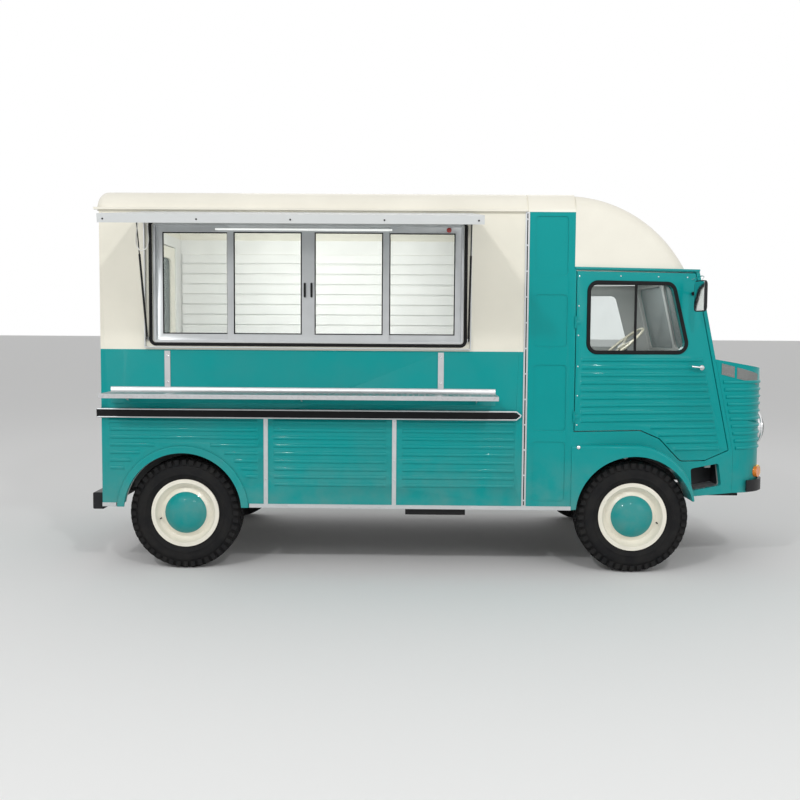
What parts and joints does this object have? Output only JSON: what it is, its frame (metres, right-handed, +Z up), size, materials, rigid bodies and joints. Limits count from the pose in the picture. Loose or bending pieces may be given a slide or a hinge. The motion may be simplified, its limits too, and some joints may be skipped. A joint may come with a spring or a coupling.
{
  "type": "food truck",
  "caption": "Small forward-control panel van with ribbed sides and a domed cab roof, converted for street food with a serving hatch, top-hinged flap, outside shelf, opening doors and steered wheels.",
  "frame": {"origin": "on the ground under the middle of the box round the whole van", "axes": "+X to the front, +Y to the left side, +Z up; the serving hatch is on the -Y side"},
  "size_m": [4.292, 2.9176, 2.3998],
  "materials": {
    "teal_paint": "gloss",
    "cream_paint": "gloss",
    "rim_cream": "gloss",
    "flap_grey": "satin",
    "chassis_black": "satin",
    "bumper_black": "satin",
    "strut_black": "gloss",
    "floor_grey": "matt",
    "engine_iron": "rough",
    "aluminium": "brushed",
    "tread_plate": "tread plate",
    "steel": "brushed",
    "chrome": "polished",
    "lamp_amber": "gloss",
    "lamp_red": "gloss",
    "glass": "clear",
    "rubber": "matt",
    "tyre": "matt",
    "seat_vinyl": "grained",
    "dash_grey": "grained",
    "wheel_cream": "gloss",
    "cord_white": "braided"
  },
  "bodies": {
    "body": {"chassis_frame": "chassis_black", "axle_beams": "chassis_black", "engine_block": "engine_iron", "fuel_tank": "chassis_black", "load_floor": "floor_grey", "cab_floor": "floor_grey", "side_wall_right": "teal_paint", "side_wall_left": "teal_paint", "centre_pillars": "teal_paint", "roof": "cream_paint", "rear_frame": "teal_paint", "cab_shell": "teal_paint", "cab_roof": "cream_paint", "front_wings": "teal_paint", "nose_shell": "teal_paint", "grille": "aluminium", "headlamps": "chrome", "indicators": "lamp_amber", "tail_lamps": "lamp_red", "bumpers": "bumper_black", "windscreen": "glass", "serving_window": "aluminium", "serving_panes": "glass", "window_seal": "rubber", "aluminium_trims": "aluminium", "rub_strips": "rubber", "serving_shelf": "tread_plate", "worktop": "steel", "seats": "seat_vinyl", "dashboard": "dash_grey"},
    "steering_wheel": {"steering_wheel": "wheel_cream"},
    "bonnet": {"bonnet": "teal_paint"},
    "serving_flap": {"serving_flap": "flap_grey", "pull_cord": "cord_white"},
    "rear_gate": {"rear_gate": "cream_paint", "rear_gate_glass": "glass"},
    "tail_door_left": {"tail_door_left": "teal_paint"},
    "cab_door_left": {"cab_door_left": "teal_paint", "door_glass_left": "glass", "door_fittings_left": "rubber"},
    "knuckle_left": {"knuckle_left": "chassis_black"},
    "wheel_front_left": {"rim_front_left": "rim_cream", "tyre_front_left": "tyre"},
    "wheel_rear_left": {"rim_rear_left": "rim_cream", "tyre_rear_left": "tyre"},
    "tail_door_right": {"tail_door_right": "teal_paint"},
    "cab_door_right": {"cab_door_right": "teal_paint", "door_glass_right": "glass", "door_fittings_right": "rubber"},
    "knuckle_right": {"knuckle_right": "chassis_black"},
    "wheel_front_right": {"rim_front_right": "rim_cream", "tyre_front_right": "tyre"},
    "wheel_rear_right": {"rim_rear_right": "rim_cream", "tyre_rear_right": "tyre"},
    "strut_tube_rear": {"strut_tube_rear": "strut_black"},
    "strut_rod_rear": {"strut_rod_rear": "chrome"},
    "strut_tube_front": {"strut_tube_front": "strut_black"},
    "strut_rod_front": {"strut_rod_front": "chrome"}
  },
  "joints": [
    {"name": "steer_left", "type": "hinge", "parent": "body", "child": "knuckle_left", "pos_m": [1.224, 1.24567, 0.35], "axis": [0, 0, 1], "range_deg": [-28, 28]},
    {"name": "steer_right", "type": "hinge", "parent": "body", "child": "knuckle_right", "pos_m": [1.224, -0.42433, 0.35], "axis": [0, 0, 1], "range_deg": [-28, 28]},
    {"name": "steering_wheel_turn", "type": "hinge", "parent": "body", "child": "steering_wheel", "pos_m": [1.414, 0.81067, 1.4], "axis": [-0.6424, 0, 0.7664], "range_deg": [-420, 420]},
    {"name": "wheel_front_left_spin", "type": "hinge", "parent": "knuckle_left", "child": "wheel_front_left", "pos_m": [1.224, 1.27067, 0.35], "axis": [0, 1, 0], "continuous": true},
    {"name": "wheel_front_right_spin", "type": "hinge", "parent": "knuckle_right", "child": "wheel_front_right", "pos_m": [1.224, -0.44933, 0.35], "axis": [0, 1, 0], "continuous": true},
    {"name": "wheel_rear_left_spin", "type": "hinge", "parent": "body", "child": "wheel_rear_left", "pos_m": [-1.576, 1.27067, 0.35], "axis": [0, 1, 0], "continuous": true},
    {"name": "wheel_rear_right_spin", "type": "hinge", "parent": "body", "child": "wheel_rear_right", "pos_m": [-1.576, -0.44933, 0.35], "axis": [0, 1, 0], "continuous": true},
    {"name": "cab_door_right_swing", "type": "hinge", "parent": "body", "child": "cab_door_right", "pos_m": [0.83732, -0.59443, 0.893], "axis": [0, 0, -1], "range_deg": [0, 70]},
    {"name": "cab_door_left_swing", "type": "hinge", "parent": "body", "child": "cab_door_left", "pos_m": [0.83732, 1.41577, 0.893], "axis": [0, 0, 1], "range_deg": [0, 70]},
    {"name": "bonnet_lift", "type": "hinge", "parent": "body", "child": "bonnet", "pos_m": [1.77893, 0.41067, 1.341], "axis": [0, -1, 0], "range_deg": [0, 50]},
    {"name": "flap_lift", "type": "hinge", "parent": "body", "child": "serving_flap", "pos_m": [-1.811, -0.63733, 2.203], "axis": [1, 0, 0], "range_deg": [0, 82.5], "deforming": ["pull_cord"]},
    {"name": "strut_turn_rear", "type": "hinge", "parent": "body", "child": "strut_tube_rear", "pos_m": [-1.7825, -0.60533, 1.442], "axis": [1, 0, 0], "range_deg": [-16.62, 0]},
    {"name": "strut_slide_rear", "type": "slide", "parent": "strut_tube_rear", "child": "strut_rod_rear", "axis": [0, -0.2925, 0.9563], "range_m": [-0.17, 0]},
    {"name": "strut_turn_front", "type": "hinge", "parent": "body", "child": "strut_tube_front", "pos_m": [0.1845, -0.60533, 1.442], "axis": [1, 0, 0], "range_deg": [-16.62, 0]},
    {"name": "strut_slide_front", "type": "slide", "parent": "strut_tube_front", "child": "strut_rod_front", "axis": [0, -0.2925, 0.9563], "range_m": [-0.17, 0]},
    {"name": "gate_lift", "type": "hinge", "parent": "body", "child": "rear_gate", "pos_m": [-2.085, 0.41067, 2.1425], "axis": [0, 1, 0], "range_deg": [0, 90]},
    {"name": "tail_door_right_swing", "type": "hinge", "parent": "body", "child": "tail_door_right", "pos_m": [-2.085, -0.37183, 1.325], "axis": [0, 0, 1], "range_deg": [0, 105]},
    {"name": "tail_door_left_swing", "type": "hinge", "parent": "body", "child": "tail_door_left", "pos_m": [-2.085, 1.19317, 1.325], "axis": [0, 0, -1], "range_deg": [0, 105]}
  ],
  "couplings": [
    {"joint": "steer_right", "follows": "steer_left", "ratio": 1},
    {"joint": "steering_wheel_turn", "follows": "steer_left", "ratio": 15},
    {"joint": "strut_turn_rear", "follows": "flap_lift", "ratio": -0.20131},
    {"joint": "strut_slide_rear", "follows": "flap_lift", "m_per_rad": -0.11795},
    {"joint": "strut_turn_front", "follows": "flap_lift", "ratio": -0.20131},
    {"joint": "strut_slide_front", "follows": "flap_lift", "m_per_rad": -0.11795}
  ]
}
